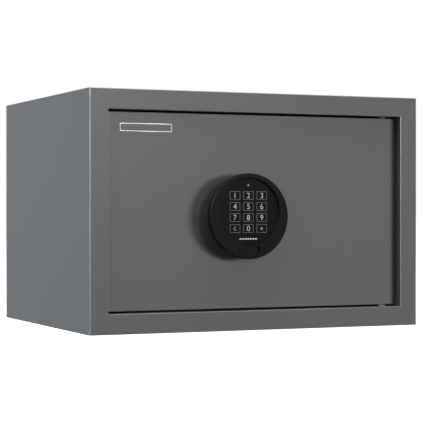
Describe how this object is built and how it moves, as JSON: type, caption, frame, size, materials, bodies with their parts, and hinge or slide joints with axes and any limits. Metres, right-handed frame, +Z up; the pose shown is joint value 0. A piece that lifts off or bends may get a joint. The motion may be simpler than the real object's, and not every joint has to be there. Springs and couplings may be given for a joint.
{
  "type": "furniture safe",
  "caption": "Free-standing steel wall safe with a recessed hinged door, rotary electronic keypad knob, rack-driven locking bolts and anchor holes.",
  "frame": {"origin": "centre of the casing's bottom face (the knob stands out in front of the casing)", "axes": "+Z up, +X to the right of a person facing the door, +Y into the safe towards its rear wall"},
  "size_m": [0.38, 0.311, 0.25],
  "materials": {
    "casing_paint": "fine-textured powder coat, mid grey",
    "door_paint": "fine-textured powder coat, mid grey",
    "cover_paint": "satin powder coat, dark grey",
    "felt": "needle felt, charcoal",
    "zinc_steel": "bright zinc plated",
    "bolt_steel": "ground and polished",
    "badge_metal": "bright brushed, blank",
    "brass": "turned",
    "diecast": "die-cast, as cast",
    "knob_plastic": "fine-grained moulded",
    "keypad_plastic": "smooth satin",
    "key_plastic": "smooth satin, printed",
    "battery_plastic": "moulded, ribbed lid",
    "circuit_board": "solder-masked laminate",
    "battery_wrap": "plain shrink sleeve",
    "contact_metal": "nickel plated",
    "led_glass": "clear lens"
  },
  "bodies": {
    "casing": {"body_shell": "casing_paint", "rear_wall": "casing_paint", "floor_mat": "felt", "hinge_pin_upper": "zinc_steel", "hinge_pin_lower": "zinc_steel", "hinge_washer_upper": "casing_paint", "hinge_washer_lower": "casing_paint"},
    "door": {"door_plate": "door_paint", "hinge_side_hook_bar": "zinc_steel", "badge_plate": "badge_metal", "lock_base_plate": "zinc_steel", "base_plate_screws": "zinc_steel", "spindle_bush": "brass", "bolt_guide_bracket": "zinc_steel", "bracket_screws": "zinc_steel", "carriage_studs": "zinc_steel", "lock_case": "diecast", "lock_case_cover": "diecast", "lock_case_screws": "zinc_steel", "lock_motor": "contact_metal", "lock_circuit_board": "circuit_board", "mechanism_cover": "cover_paint", "cover_posts": "zinc_steel", "cover_screws": "zinc_steel", "battery_box": "battery_plastic", "batteries": "battery_wrap", "battery_contacts": "contact_metal"},
    "bolt_work": {"bolt_carriage": "zinc_steel", "locking_bolt_upper": "bolt_steel", "locking_bolt_lower": "bolt_steel", "bolt_nuts": "zinc_steel", "carriage_rack": "zinc_steel"},
    "blocking_bolt": {"blocking_bolt": "bolt_steel"},
    "motor_pinion": {"motor_pinion": "brass"},
    "battery_lid": {"battery_lid": "battery_plastic"},
    "knob": {"knob_housing": "knob_plastic", "knob_back_plate": "knob_plastic", "keypad_panel": "keypad_plastic", "keypad_board": "circuit_board", "led_lens": "led_glass", "spindle": "zinc_steel", "spindle_pinion": "zinc_steel", "spindle_clip": "zinc_steel", "knob_screws": "zinc_steel", "emergency_contacts": "brass"},
    "contact_cover": {"contact_cover": "knob_plastic"},
    "key_1": {"key_1": "key_plastic"},
    "key_2": {"key_2": "key_plastic"},
    "key_3": {"key_3": "key_plastic"},
    "key_4": {"key_4": "key_plastic"},
    "key_5": {"key_5": "key_plastic"},
    "key_6": {"key_6": "key_plastic"},
    "key_7": {"key_7": "key_plastic"},
    "key_8": {"key_8": "key_plastic"},
    "key_9": {"key_9": "key_plastic"},
    "key_clear": {"key_clear": "key_plastic"},
    "key_0": {"key_0": "key_plastic"},
    "key_enter": {"key_enter": "key_plastic"}
  },
  "joints": [
    {"name": "door_swing", "type": "hinge", "parent": "casing", "child": "door", "pos_m": [0.1545, -0.1341, 0.125], "axis": [0, 0, 1], "range_deg": [0, 105]},
    {"name": "knob_turn", "type": "hinge", "parent": "door", "child": "knob", "pos_m": [-0.018, -0.15, 0.12], "axis": [0, -1, 0], "range_deg": [0, 90]},
    {"name": "bolt_slide", "type": "slide", "parent": "door", "child": "bolt_work", "axis": [-1, 0, 0], "range_m": [0, 0.0157]},
    {"name": "blocking_slide", "type": "slide", "parent": "door", "child": "blocking_bolt", "axis": [0, 0, -1], "range_m": [0, 0.006]},
    {"name": "motor_turn", "type": "hinge", "parent": "door", "child": "motor_pinion", "pos_m": [-0.032, -0.1105, 0.1715], "axis": [0, -1, 0], "range_deg": [0, 76.5]},
    {"name": "battery_lid_slide", "type": "slide", "parent": "door", "child": "battery_lid", "axis": [1, 0, 0], "range_m": [0, 0.018]},
    {"name": "contact_cover_pull", "type": "slide", "parent": "knob", "child": "contact_cover", "axis": [0, -1, 0], "range_m": [0, 0.008]},
    {"name": "key_1_press", "type": "slide", "parent": "knob", "child": "key_1", "axis": [0, 1, 0], "range_m": [0, 0.0008], "stiffness_N_per_m": 600, "springref_m": -0.0006},
    {"name": "key_2_press", "type": "slide", "parent": "knob", "child": "key_2", "axis": [0, 1, 0], "range_m": [0, 0.0008], "stiffness_N_per_m": 600, "springref_m": -0.0006},
    {"name": "key_3_press", "type": "slide", "parent": "knob", "child": "key_3", "axis": [0, 1, 0], "range_m": [0, 0.0008], "stiffness_N_per_m": 600, "springref_m": -0.0006},
    {"name": "key_4_press", "type": "slide", "parent": "knob", "child": "key_4", "axis": [0, 1, 0], "range_m": [0, 0.0008], "stiffness_N_per_m": 600, "springref_m": -0.0006},
    {"name": "key_5_press", "type": "slide", "parent": "knob", "child": "key_5", "axis": [0, 1, 0], "range_m": [0, 0.0008], "stiffness_N_per_m": 600, "springref_m": -0.0006},
    {"name": "key_6_press", "type": "slide", "parent": "knob", "child": "key_6", "axis": [0, 1, 0], "range_m": [0, 0.0008], "stiffness_N_per_m": 600, "springref_m": -0.0006},
    {"name": "key_7_press", "type": "slide", "parent": "knob", "child": "key_7", "axis": [0, 1, 0], "range_m": [0, 0.0008], "stiffness_N_per_m": 600, "springref_m": -0.0006},
    {"name": "key_8_press", "type": "slide", "parent": "knob", "child": "key_8", "axis": [0, 1, 0], "range_m": [0, 0.0008], "stiffness_N_per_m": 600, "springref_m": -0.0006},
    {"name": "key_9_press", "type": "slide", "parent": "knob", "child": "key_9", "axis": [0, 1, 0], "range_m": [0, 0.0008], "stiffness_N_per_m": 600, "springref_m": -0.0006},
    {"name": "key_clear_press", "type": "slide", "parent": "knob", "child": "key_clear", "axis": [0, 1, 0], "range_m": [0, 0.0008], "stiffness_N_per_m": 600, "springref_m": -0.0006},
    {"name": "key_0_press", "type": "slide", "parent": "knob", "child": "key_0", "axis": [0, 1, 0], "range_m": [0, 0.0008], "stiffness_N_per_m": 600, "springref_m": -0.0006},
    {"name": "key_enter_press", "type": "slide", "parent": "knob", "child": "key_enter", "axis": [0, 1, 0], "range_m": [0, 0.0008], "stiffness_N_per_m": 600, "springref_m": -0.0006}
  ],
  "couplings": [
    {"joint": "knob_turn", "follows": "bolt_slide", "rad_per_m": 100},
    {"joint": "motor_turn", "follows": "blocking_slide", "rad_per_m": 222.22}
  ]
}
